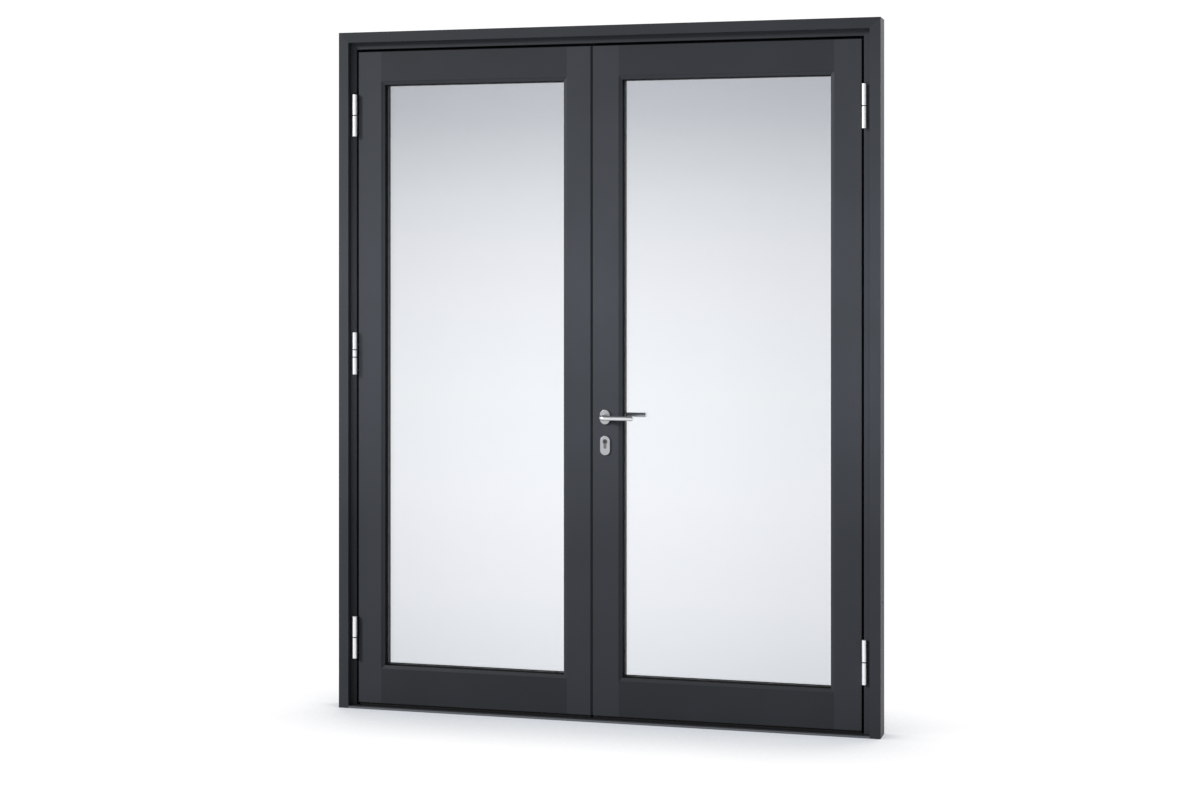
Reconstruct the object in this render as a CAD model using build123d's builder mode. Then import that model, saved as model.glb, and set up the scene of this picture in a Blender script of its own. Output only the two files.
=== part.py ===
"""Double-leaf glazed aluminium door in its own frame, powder coated, without the wall.

The origin is the middle of the underside of the frame. X runs to the right as the door is
seen from the side that it opens to, Y runs from that side to the back, and Z is up. Sizes
are in millimetres. Every bar is an extrusion: its section is drawn once, in a plane whose
x runs from the outer edge of the bar towards the middle of the door and whose y runs back.
"""
from build123d import *
import os

os.makedirs("parts", exist_ok=True)

# Frame
door_width = 1930
door_height = 2400
flange_face = 36.5
rebate_face = 22
stop_reach = 22
stop_thickness = 5.5
profile_wall = 2
edge_radius = 0.8
frame_rear_chamber = 22

# How the leaves sit in the frame
leaf_setback = 24
leaf_thickness = 58
seal_gap = 2.5
leaf_side_gap = 8
leaf_top_gap = 10.5
leaf_floor_gap = 19.5
meeting_gap = 8

# Leaves
passive_leaf_width = 857
passive_stile_face = 86
active_stile_face = 92.5
top_rail_face = 105
bottom_rail_face = 122
lock_chamber_depth = 22
channel_width = 20.4
channel_depth = 3
rear_leg_thickness = 2.5

# Glazing
bead_face = 12
bead_bevel = 5
bead_seam = 0.8
bead_wall = 1.5
gasket_thickness = 3.5
gasket_sight = 2
glass_edge_gap = 4
pane_thickness = 4
pane_spacing = 12
spacer_width = 7
spacer_inset = 2
setting_block_length = 100
setting_block_inset = 90

# Threshold
threshold_height = 10
threshold_nose = 7
threshold_nose_run = 4
threshold_upstand = 20
threshold_chambers = 3
threshold_groove_rise = 11

# Seals
groove_width = 3.2
groove_depth = 2.8
groove_offset = 11
bulb_width = 7
seal_clearance = 0.3
meeting_bulb = 6.5
rear_bulb = 3.5
meeting_seal_width = 6
meeting_seal_inset = 4
meeting_seal_bore = 1.5
brush_width = 3
brush_carrier_width = 6
brush_carrier_height = 3
brush_inset = 8
brush_end_gap = 2

# Hinges
hinge_radius = 8.5
hinge_inset = 56
hinge_depth = 13
hinge_length = 150
hinge_top_drop = 225
hinge_bottom_rise = 231
hinge_middle_height = 1260
middle_knuckle_length = 24
hinge_ring = 2.5
ring_radius = 7.8
knuckle_chamfer = 1
pin_radius = 4.5
bush_radius = 6
knuckle_cap = 3
flap_thickness = 3
flap_depth = 36
flap_screw_rows = (9, 27)
flap_screw_shares = (0.25, 0.75)
running_gap = 0.06
knuckle_gap = 0.15

# Screws
screw_radius = 2.4
screw_head_radius = 4.6
screw_head_height = 2.4
screw_length = 14
screw_gap = 0.1

# Lever set
lever_height = 1051
lever_backset = 45
lever_radius = 8
lever_length = 114
lever_standoff = 64
lever_bend = 12
lever_end_radius = 1.5
lever_socket_depth = 30
rose_width = 35
rose_height = 51
rose_thickness = 8
rose_edge = 1.5
spindle_width = 8
spindle_gap = 0.05
spindle_hole_radius = 9
handle_bolt_spacing = 36
handle_bolt_radius = 2

# Cylinder
key_distance = 85
cylinder_radius = 8.5
cylinder_tail_width = 10
cylinder_height = 33
cylinder_proud = 6.5
plug_radius = 6.8
plug_proud = 0.6
key_slot_width = 2.2
key_slot_height = 9
key_slot_depth = 8
cam_width = 10
cam_side_gap = 0.2
cam_hub_radius = 8
cam_reach = 15
cam_thickness = 7
bridge_height = 7.5
cylinder_screw_radius = 2.5
escutcheon_width = 35
escutcheon_height = 67.5
escutcheon_thickness = 6
escutcheon_drop = 13.5
cylinder_gap = 0.3

# Lock
faceplate_width = 20
faceplate_thickness = 2.8
faceplate_length = 250
faceplate_drop = 55
case_depth = 60
case_thickness = 16
case_wall = 1.5
case_length = 190
case_drop = 50
bolt_thickness = 12
latch_height = 20
latch_body = 20
latch_tail = 7
latch_tail_height = 5
latch_bevel = 5
latch_projection = 6
deadbolt_height = 24
deadbolt_length = 34
deadbolt_drop = 50
plate_inset = 0.2
bolt_gap = 0.4
follower_radius = 11
follower_boss_radius = 8
strike_gap = 1

# Flush bolts of the passive leaf
shoot_radius = 4
shoot_length = 150
shoot_rest = 1.5
shoot_backset = 16
shoot_throw = 17
thumb_drop = 110
thumb_width = 8
thumb_height = 20
thumb_gap = 0.5
flush_plate_length = 170
flush_guide_length = 30
flush_guide_drop = 5
flush_guide_width = 16
flush_end_length = 20
keep_plate_thickness = 2.5
keep_plate_length = 50
keep_plate_width = 20
keep_hole_gap = 0.6
socket_wall = 1.5
strike_length = 230
plate_screw_inset = 8

# Corner joints
cleat_leg = 90
cleat_width = 24
cleat_depth = 30
cleat_gap = 0.2
spigot_length = 60
spigot_wall = 3

# Wall fixings through the jambs
fixing_radius = 4
fixing_outer_spacing = 1500
fixing_inner_spacing = 500
fixing_centre_height = 1200

# Places that follow from the sizes above
frame_depth = leaf_setback + leaf_thickness + seal_gap + stop_thickness
frame_face = flange_face + rebate_face
front_y = -frame_depth / 2
back_y = frame_depth / 2
leaf_face_y = front_y + leaf_setback
leaf_back_y = leaf_face_y + leaf_thickness
lock_y = leaf_face_y + leaf_thickness / 2
stop_face_y = back_y - stop_thickness
leaf_top = door_height - frame_face - leaf_top_gap
leaf_bottom = leaf_floor_gap
leaf_side = door_width / 2 - frame_face - leaf_side_gap
active_leaf_width = 2 * leaf_side - passive_leaf_width - meeting_gap
lock_chamber_front = (leaf_thickness - lock_chamber_depth) / 2
lock_chamber_back = lock_chamber_front + lock_chamber_depth
rear_pane_back = leaf_thickness - rear_leg_thickness - gasket_thickness
front_pane_front = rear_pane_back - 2 * pane_thickness - pane_spacing
bead_depth = front_pane_front - gasket_thickness
opening_bottom = leaf_bottom + bottom_rail_face
opening_top = leaf_top - top_rail_face
hinge_axis_y = front_y + hinge_depth
hinge_heights = (leaf_bottom + hinge_bottom_rise, leaf_top - hinge_top_drop)
key_height = lever_height - key_distance
cylinder_tail = cylinder_height - cylinder_radius
deadbolt_centre = lever_height - deadbolt_drop
strike_centre = (lever_height + deadbolt_centre) / 2
case_centre = lever_height - case_drop
faceplate_centre = lever_height - faceplate_drop
faceplate_screws = [
    faceplate_centre + half * (faceplate_length / 2 - plate_screw_inset) for half in (-1, 1)
]
strike_screws = [strike_centre + half * (strike_length / 2 - plate_screw_inset) for half in (-1, 1)]
fixing_heights = [
    fixing_centre_height + half * spacing / 2
    for spacing in (fixing_outer_spacing, fixing_inner_spacing)
    for half in (-1, 1)
]


class Leaf:
    """One leaf: the hinge edge, the way from it to the meeting edge, and its sizes."""

    def __init__(self, name, way, width, stile_face, hinges):
        self.name = name
        self.way = way
        self.width = width
        self.stile_face = stile_face
        self.hinges = hinges
        self.hinge_edge = -way * leaf_side
        self.meeting_edge = self.hinge_edge + way * width
        self.centre = (self.hinge_edge + self.meeting_edge) / 2
        self.opening = width - 2 * stile_face
        self.hinge_axis = -way * (door_width / 2 - hinge_inset)
        self.screws = []


three_heights = (*hinge_heights, hinge_middle_height)
passive = Leaf("passive", 1, passive_leaf_width, passive_stile_face, three_heights)
active = Leaf("active", -1, active_leaf_width, active_stile_face, hinge_heights)
leaves = (passive, active)
lock_x = active.meeting_edge - active.way * lever_backset
shoot_x = passive.meeting_edge - passive.way * shoot_backset
flap_screw_y = [leaf_face_y + row for row in flap_screw_rows]
keep_screw_offset = keep_plate_length / 2 - plate_screw_inset
keep_screw_places = (shoot_x - keep_screw_offset, shoot_x + keep_screw_offset)


def bar_plane(x, y, z, inward):
    """The plane of a bar's section: local x runs inward, local y runs back."""
    inward = Vector(*inward)
    return Plane(origin=(x, y, z), x_dir=inward, z_dir=inward.cross(Vector(0, 1, 0)))


def facing(y):
    """The upright plane at a depth: local x is X, local y is Z, and it faces the front."""
    return Plane.XZ.offset(-y)


def sideways(x):
    """The upright plane across the door: local x is Y and local y is Z."""
    return Plane.YZ.offset(x)


def area(x0, y0, x1, y1, mode=Mode.ADD):
    """A rectangle between two corners, in the sketch that is open."""
    with Locations(((x0 + x1) / 2, (y0 + y1) / 2)):
        Rectangle(abs(x1 - x0), abs(y1 - y0), mode=mode)


def write(piece, name):
    """Names a finished piece and writes it to its own file."""
    piece.label = name
    export_step(piece, f"parts/{name}.step")


def write_group(pieces, name):
    """Writes like pieces as separate solids of one file."""
    write(Compound([solid for piece in pieces for solid in piece.solids()]), name)


def from_edge(leaf, distance):
    """The X of a point that far inside a leaf's meeting edge."""
    return leaf.meeting_edge - leaf.way * distance


def frame_section():
    """The outer frame's section: flange, rebate, stop with its seal groove, three chambers."""
    stop_edge = frame_face + stop_reach
    stop_front = frame_depth - stop_thickness
    with BuildLine() as outline:
        Polyline(
            (0, 0),
            (flange_face, 0),
            (flange_face, leaf_setback),
            (frame_face, leaf_setback),
            (frame_face, stop_front),
            (stop_edge, stop_front),
            (stop_edge, frame_depth),
            (0, frame_depth),
            close=True,
        )
    make_face(outline.edges())
    web = frame_depth - profile_wall - frame_rear_chamber
    inner_side = frame_face - profile_wall
    front_web = leaf_setback + profile_wall
    area(profile_wall, profile_wall, flange_face - profile_wall, leaf_setback, Mode.SUBTRACT)
    area(profile_wall, front_web, inner_side, web - profile_wall, Mode.SUBTRACT)
    area(profile_wall, web, inner_side, frame_depth - profile_wall, Mode.SUBTRACT)
    groove = frame_face + groove_offset
    area(groove, stop_front, groove + groove_width, stop_front + groove_depth, Mode.SUBTRACT)


def stop_seal_section():
    """The rubber that closes on the leaf's back: a foot in the groove and a rounded bulb."""
    stop_front = frame_depth - stop_thickness
    centre = frame_face + groove_offset + groove_width / 2
    half_foot = groove_width / 2 - cleat_gap / 2
    half_bulb = bulb_width / 2
    area(centre - half_bulb, stop_front - seal_gap + seal_clearance, centre + half_bulb, stop_front)
    area(centre - half_foot, stop_front, centre + half_foot, stop_front + groove_depth - cleat_gap)


def leaf_section(face, channelled):
    """A leaf bar's section: three chambers, and the hardware channel along a meeting edge."""
    area(0, 0, face, leaf_thickness)
    inner = face - profile_wall
    rear = leaf_thickness - profile_wall
    lock_start = profile_wall
    if channelled:
        middle = leaf_thickness / 2
        half = channel_width / 2
        area(0, middle - half, channel_depth, middle + half, Mode.SUBTRACT)
        lock_start = profile_wall + channel_depth
    area(profile_wall, profile_wall, inner, lock_chamber_front - profile_wall, Mode.SUBTRACT)
    area(lock_start, lock_chamber_front, inner, lock_chamber_back, Mode.SUBTRACT)
    area(profile_wall, lock_chamber_back + profile_wall, inner, rear, Mode.SUBTRACT)


def rear_leg(face):
    """The leg behind the glass, which takes its seat from the bead's width."""
    area(face, leaf_thickness - rear_leg_thickness, face + bead_face, leaf_thickness)


def cylinder_profile(gap=0.0):
    """The keyhole outline of a profile cylinder, in the sketch that is open."""
    half_tail = cylinder_tail_width / 2
    with Locations((lock_x, key_height)):
        Circle(cylinder_radius + gap)
    low = key_height - cylinder_tail + half_tail
    area(lock_x - half_tail - gap, low, lock_x + half_tail + gap, key_height)
    with Locations((lock_x, low)):
        Circle(half_tail + gap)


def knuckles(leaf):
    """The lengths of barrel of a leaf's hinges: those on the leaf and those on the frame."""
    on_leaf = []
    on_frame = []
    half = hinge_length / 2
    for height in leaf.hinges:
        if height == hinge_middle_height:
            inner = middle_knuckle_length / 2
            on_leaf.append((height - inner, height + inner))
            on_frame.append((height - half, height - inner - hinge_ring))
            on_frame.append((height + inner + hinge_ring, height + half))
        else:
            on_leaf.append((height + hinge_ring / 2, height + half))
            on_frame.append((height - half, height - hinge_ring / 2))
    return on_leaf, on_frame


def flap_screws(spans):
    """Two screws a flap, one in each row, as points of Y and Z."""
    return [
        (y, low + share * (high - low))
        for low, high in spans
        for y, share in zip(flap_screw_y, flap_screw_shares)
    ]


def screw(length, gap=0.0):
    """A countersunk screw, its head's face at the origin and its shank along -Z."""
    with BuildPart() as piece:
        with BuildSketch(Plane.XZ):
            with BuildLine():
                Polyline(
                    (0, 0),
                    (screw_head_radius + gap, 0),
                    (screw_radius + gap, -screw_head_height),
                    (screw_radius + gap, -length),
                    (0, -length),
                    close=True,
                )
            make_face()
        revolve(axis=Axis.Z)
    return piece.part


def placed(piece, x, y, z, facing_way):
    """A copy of a screw with its head at a point, facing the way given."""
    return piece.moved(Plane(origin=(x, y, z), z_dir=facing_way).location)


plain_screw = screw(screw_length)
screw_hole = screw(screw_length, screw_gap)


# The outer frame: two jambs and the head, mitred, with the fixing holes through the jambs
for leaf, name in ((passive, "jamb_left"), (active, "jamb_right")):
    side_x = -leaf.way * door_width / 2
    foot = 0 if leaf.way > 0 else door_height
    on_leaf, on_frame = knuckles(leaf)
    rebate_x = side_x + leaf.way * frame_face
    with BuildPart() as jamb:
        with BuildSketch(bar_plane(side_x, front_y, foot, (leaf.way, 0, 0))) as section:
            frame_section()
            fillet(section.vertices().group_by(Axis.Y)[0], edge_radius)
        extrude(amount=door_height)
        split(bisect_by=Plane((side_x, 0, door_height), z_dir=(leaf.way, 0, 1)), keep=Keep.BOTTOM)
        with BuildSketch(sideways(side_x)):
            with Locations(*[(0, z) for z in fixing_heights]):
                Circle(fixing_radius)
        extrude(amount=leaf.way * frame_face, mode=Mode.SUBTRACT)
        with BuildSketch(sideways(rebate_x)):
            with Locations(*flap_screws(on_frame)):
                Circle(screw_radius + screw_gap)
        extrude(amount=-leaf.way * screw_length, mode=Mode.SUBTRACT)
    write(jamb.part, name)

with BuildPart() as head:
    with BuildSketch(bar_plane(-door_width / 2, front_y, door_height, (0, 0, -1))) as section:
        frame_section()
        fillet(section.vertices().group_by(Axis.Y)[0], edge_radius)
    extrude(amount=door_width)
    for way in (-1, 1):
        corner = Plane((way * door_width / 2, 0, door_height), z_dir=(-way, 0, 1))
        split(bisect_by=corner, keep=Keep.TOP)
    with BuildSketch(Plane.XY.offset(door_height - frame_face)):
        with Locations((shoot_x, lock_y)):
            Circle(shoot_radius + keep_hole_gap)
        with Locations(*[(x, lock_y) for x in keep_screw_places]):
            Circle(screw_radius + screw_gap)
    extrude(amount=screw_length, mode=Mode.SUBTRACT)
write(head.part, "head")

# The threshold: a flat hollow bar between the jambs, with the upstand that the leaves close on
with BuildPart() as threshold:
    half_span = door_width / 2 - flange_face
    with BuildSketch(sideways(-half_span)):
        with BuildLine():
            Polyline(
                (front_y, 0),
                (front_y, threshold_nose),
                (front_y + threshold_nose_run, threshold_height),
                (stop_face_y, threshold_height),
                (stop_face_y, threshold_height + threshold_upstand),
                (back_y, threshold_height + threshold_upstand),
                (back_y, 0),
                close=True,
            )
        make_face()
        first = front_y + threshold_nose_run + profile_wall
        pitch = (back_y - first) / threshold_chambers
        roof = threshold_height - profile_wall
        for index in range(threshold_chambers):
            start = first + index * pitch
            area(start, profile_wall, start + pitch - profile_wall, roof, Mode.SUBTRACT)
        groove = threshold_height + threshold_groove_rise
        area(stop_face_y, groove, stop_face_y + groove_depth, groove + groove_width, Mode.SUBTRACT)
    extrude(amount=2 * half_span)
    for way in (-1, 1):
        with BuildSketch(Plane.XY):
            rebate_x = way * (door_width / 2 - frame_face)
            area(rebate_x, front_y + leaf_setback, way * door_width / 2, back_y, Mode.ADD)
            area(rebate_x - way * stop_reach, stop_face_y, way * door_width / 2, back_y, Mode.ADD)
        extrude(amount=threshold_height + threshold_upstand, mode=Mode.SUBTRACT)
    with BuildSketch(Plane.XY.offset(threshold_height)):
        with Locations((shoot_x, lock_y)):
            Circle(shoot_radius + keep_hole_gap + socket_wall)
    extrude(amount=-profile_wall, mode=Mode.SUBTRACT)
write(threshold.part, "threshold")

# Corner cleats, inside the mitred corners of the frame
corner_cleats = []
for way in (-1, 1):
    corner_x = way * (door_width / 2 - profile_wall - cleat_gap)
    corner_z = door_height - profile_wall - cleat_gap
    with BuildPart() as cleat:
        with BuildSketch(facing(-cleat_depth / 2)):
            area(corner_x - way * cleat_leg, corner_z - cleat_width, corner_x, corner_z)
            area(corner_x - way * cleat_width, corner_z - cleat_leg, corner_x, corner_z)
        extrude(amount=-cleat_depth)
    corner_cleats.append(cleat.part)
write_group(corner_cleats, "frame_corner_cleats")

# The frame's seals: up both jambs, across the head, and along the threshold's upstand
stop_seals = []
for leaf in leaves:
    side_x = -leaf.way * door_width / 2
    foot = threshold_height if leaf.way > 0 else door_height
    with BuildPart() as seal:
        with BuildSketch(bar_plane(side_x, front_y, foot, (leaf.way, 0, 0))):
            stop_seal_section()
        extrude(amount=door_height - threshold_height)
        split(bisect_by=Plane((side_x, 0, door_height), z_dir=(leaf.way, 0, 1)), keep=Keep.BOTTOM)
    stop_seals.append(seal.part)
with BuildPart() as seal:
    with BuildSketch(bar_plane(-door_width / 2, front_y, door_height, (0, 0, -1))):
        stop_seal_section()
    extrude(amount=door_width)
    for way in (-1, 1):
        corner = Plane((way * door_width / 2, 0, door_height), z_dir=(-way, 0, 1))
        split(bisect_by=corner, keep=Keep.TOP)
stop_seals.append(seal.part)
write_group(stop_seals, "frame_stop_seals")

with BuildPart() as seal:
    half_span = door_width / 2 - frame_face - stop_reach
    with BuildSketch(sideways(-half_span)):
        middle = threshold_height + threshold_groove_rise + groove_width / 2
        half_foot = groove_width / 2 - cleat_gap / 2
        front = stop_face_y - seal_gap + seal_clearance
        area(front, middle - bulb_width / 2, stop_face_y, middle + bulb_width / 2)
        area(stop_face_y, middle - half_foot, stop_face_y + groove_depth - cleat_gap, middle + half_foot)
    extrude(amount=2 * half_span)
write(seal.part, "threshold_seal")

# The leaves' bars: stiles over the full height, rails between them
for leaf in leaves:
    on_leaf, on_frame = knuckles(leaf)
    height = leaf_top - leaf_bottom
    opening_height = opening_top - opening_bottom
    for edge, edge_x, inward in (
        ("hinge", leaf.hinge_edge, leaf.way),
        ("meeting", leaf.meeting_edge, -leaf.way),
    ):
        rising = inward > 0
        foot = leaf_bottom if rising else leaf_top
        leg_foot = opening_bottom if rising else opening_top
        with BuildPart() as stile:
            with BuildSketch(bar_plane(edge_x, leaf_face_y, foot, (inward, 0, 0))) as section:
                leaf_section(leaf.stile_face, edge == "meeting")
                fillet(section.vertices().group_by(Axis.X)[0], edge_radius)
            extrude(amount=height)
            with BuildSketch(bar_plane(edge_x, leaf_face_y, leg_foot, (inward, 0, 0))):
                rear_leg(leaf.stile_face)
            extrude(amount=opening_height)
            if edge == "hinge":
                with BuildSketch(sideways(edge_x)):
                    with Locations(*flap_screws(on_leaf)):
                        Circle(screw_radius + screw_gap)
                extrude(amount=inward * screw_length, mode=Mode.SUBTRACT)
            elif leaf is active:
                wall = channel_depth + profile_wall
                with BuildSketch(sideways(edge_x)):
                    with Locations((lock_y, case_centre)):
                        Rectangle(case_thickness + 2 * bolt_gap, case_length + 2 * bolt_gap)
                    with Locations(*[(lock_y, z) for z in faceplate_screws]):
                        Circle(screw_radius + screw_gap)
                extrude(amount=inward * wall, mode=Mode.SUBTRACT)
                with BuildSketch(facing(leaf_face_y)):
                    with Locations((lock_x, lever_height)):
                        Circle(spindle_hole_radius)
                    for way in (-1, 1):
                        with Locations((lock_x, lever_height + way * handle_bolt_spacing / 2)):
                            Circle(handle_bolt_radius + bolt_gap)
                    cylinder_profile(cylinder_gap)
                extrude(amount=-leaf_thickness, mode=Mode.SUBTRACT)
            else:
                wall = channel_depth + profile_wall
                slot = flush_plate_length - flush_end_length
                with BuildSketch(sideways(edge_x)):
                    with Locations((lock_y, lever_height)):
                        Rectangle(bolt_thickness + 2 * strike_gap, latch_height + 2 * strike_gap)
                    with Locations((lock_y, deadbolt_centre)):
                        Rectangle(bolt_thickness + 2 * strike_gap, deadbolt_height + 2 * strike_gap)
                    with Locations(*[(lock_y, z) for z in strike_screws]):
                        Circle(screw_radius + screw_gap)
                    for end, up in ((leaf_top, 1), (leaf_bottom, -1)):
                        half = flush_guide_width / 2 + bolt_gap
                        area(lock_y - half, end - up * slot, lock_y + half, end)
                        with Locations((lock_y, end - up * (flush_plate_length - plate_screw_inset))):
                            Circle(screw_radius + screw_gap)
                extrude(amount=inward * wall, mode=Mode.SUBTRACT)
        write(stile.part, f"{leaf.name}_{edge}_stile")

    for level, edge_z, down, face in (
        ("top", leaf_top, -1, top_rail_face),
        ("bottom", leaf_bottom, 1, bottom_rail_face),
    ):
        start_x = leaf.centre + down * leaf.opening / 2
        with BuildPart() as rail:
            with BuildSketch(bar_plane(start_x, leaf_face_y, edge_z, (0, 0, down))):
                leaf_section(face, False)
            extrude(amount=leaf.opening)
            with BuildSketch(bar_plane(start_x - down * bead_face, leaf_face_y, edge_z, (0, 0, down))):
                rear_leg(face)
            extrude(amount=leaf.opening - 2 * bead_face)
        write(rail.part, f"{leaf.name}_{level}_rail")

# Spigots that join the rails to the stiles, tubes inside the rails' middle chamber
for leaf in leaves:
    spigots = []
    for edge_z, down, face in ((leaf_top, -1, top_rail_face), (leaf_bottom, 1, bottom_rail_face)):
        for end in (-1, 1):
            with BuildPart() as spigot:
                with BuildSketch(sideways(leaf.centre + end * leaf.opening / 2)):
                    low = edge_z + down * (profile_wall + cleat_gap)
                    high = edge_z + down * (face - profile_wall - cleat_gap)
                    front = leaf_face_y + lock_chamber_front + cleat_gap
                    back = leaf_face_y + lock_chamber_back - cleat_gap
                    area(front, low, back, high)
                    wall = spigot_wall
                    area(front + wall, low + down * wall, back - wall, high - down * wall, Mode.SUBTRACT)
                extrude(amount=-end * spigot_length)
            spigots.append(spigot.part)
    write_group(spigots, f"{leaf.name}_corner_spigots")


def ring(leaf, front, thickness, outer, inner):
    """A flat ring round a leaf's glass, between two insets from the bars."""
    with BuildPart() as piece:
        with BuildSketch(facing(leaf_face_y + front)):
            with Locations((leaf.centre, (opening_bottom + opening_top) / 2)):
                opening_height = opening_top - opening_bottom
                Rectangle(leaf.opening - 2 * outer, opening_height - 2 * outer)
                Rectangle(leaf.opening - 2 * inner, opening_height - 2 * inner, mode=Mode.SUBTRACT)
        extrude(amount=-thickness)
    return piece.part


# Glazing: mitred bevelled beads, two seals, two panes on a spacer, and setting blocks
for leaf in leaves:
    left = leaf.centre - leaf.opening / 2
    right = leaf.centre + leaf.opening / 2
    beads = []
    for inward, start in (
        (Vector(1, 0, 0), Vector(left, 0, opening_bottom)),
        (Vector(-1, 0, 0), Vector(right, 0, opening_top)),
        (Vector(0, 0, 1), Vector(right, 0, opening_bottom)),
        (Vector(0, 0, -1), Vector(left, 0, opening_top)),
    ):
        run = inward.cross(Vector(0, 1, 0))
        length = leaf.opening if abs(run.X) > 0.5 else opening_top - opening_bottom
        with BuildPart() as bead:
            with BuildSketch(bar_plane(start.X, leaf_face_y, start.Z, (inward.X, 0, inward.Z))):
                with BuildLine():
                    Polyline(
                        (0, bead_seam),
                        (bead_face, bead_seam + bead_bevel),
                        (bead_face, bead_depth),
                        (0, bead_depth),
                        close=True,
                    )
                make_face()
                offset(amount=-bead_wall, kind=Kind.INTERSECTION, mode=Mode.SUBTRACT)
            extrude(amount=length)
            split(bisect_by=Plane(start, z_dir=run - inward), keep=Keep.TOP)
            split(bisect_by=Plane(start + run * length, z_dir=run * -1 - inward), keep=Keep.TOP)
        beads.append(bead.part)
    write_group(beads, f"{leaf.name}_glazing_beads")

    cover = bead_face + gasket_sight
    seals = [
        ring(leaf, front, gasket_thickness, glass_edge_gap, cover)
        for front in (bead_depth, rear_pane_back)
    ]
    write_group(seals, f"{leaf.name}_glazing_seals")

    spacer_outer = glass_edge_gap + spacer_inset
    spacer_inner = spacer_outer + spacer_width
    spacer_front = front_pane_front + pane_thickness
    spacer = ring(leaf, spacer_front, pane_spacing, spacer_outer, spacer_inner)
    write(spacer, f"{leaf.name}_glass_spacer")

    panes = []
    glass_width = leaf.opening - 2 * glass_edge_gap
    glass_height = opening_top - opening_bottom - 2 * glass_edge_gap
    for front in (front_pane_front, rear_pane_back - pane_thickness):
        with BuildPart() as pane:
            with BuildSketch(facing(leaf_face_y + front)):
                with Locations((leaf.centre, (opening_bottom + opening_top) / 2)):
                    Rectangle(glass_width, glass_height)
            extrude(amount=-pane_thickness)
        panes.append(pane.part)
    write_group(panes, f"{leaf.name}_glass_panes")

    blocks = []
    reach = leaf.opening / 2 - setting_block_inset
    for way in (-1, 1):
        for low in (opening_bottom, opening_top - glass_edge_gap):
            with BuildPart() as block:
                with BuildSketch(facing(leaf_face_y + front_pane_front)):
                    inner = leaf.centre + way * (reach - setting_block_length)
                    area(inner, low, leaf.centre + way * reach, low + glass_edge_gap)
                extrude(amount=front_pane_front - rear_pane_back)
            blocks.append(block.part)
    write_group(blocks, f"{leaf.name}_setting_blocks")

# Seals on the leaves: a bulb at each meeting edge, and a brush under each bottom edge
for leaf, reach, inset, name in (
    (passive, meeting_bulb, meeting_seal_inset, "passive_meeting_seal"),
    (active, rear_bulb, leaf_thickness - meeting_seal_inset - meeting_seal_width, "active_meeting_seal"),
):
    with BuildPart() as seal:
        with BuildSketch(Plane.XY.offset(leaf_bottom)) as section:
            tip = leaf.meeting_edge + leaf.way * reach
            front = leaf_face_y + inset
            area(leaf.meeting_edge, front, tip, front + meeting_seal_width)
            outer = section.vertices().sort_by(Axis.X, reverse=leaf.way > 0)[0:2]
            fillet(outer, meeting_seal_width / 2 - edge_radius)
            if reach > meeting_seal_width:
                with Locations((tip - leaf.way * meeting_seal_width / 2, front + meeting_seal_width / 2)):
                    Circle(meeting_seal_bore, mode=Mode.SUBTRACT)
        extrude(amount=leaf_top - leaf_bottom)
    write(seal.part, name)

for leaf in leaves:
    with BuildPart() as brush:
        with BuildSketch(sideways(leaf.centre - leaf.width / 2 + brush_end_gap)):
            middle = leaf_face_y + brush_inset + brush_carrier_width / 2
            low = leaf_bottom - brush_carrier_height
            half_carrier = brush_carrier_width / 2
            half_brush = brush_width / 2
            area(middle - half_carrier, low, middle + half_carrier, leaf_bottom)
            area(middle - half_brush, threshold_height + seal_clearance, middle + half_brush, low)
        extrude(amount=leaf.width - 2 * brush_end_gap)
    write(brush.part, f"{leaf.name}_bottom_brush")

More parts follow.
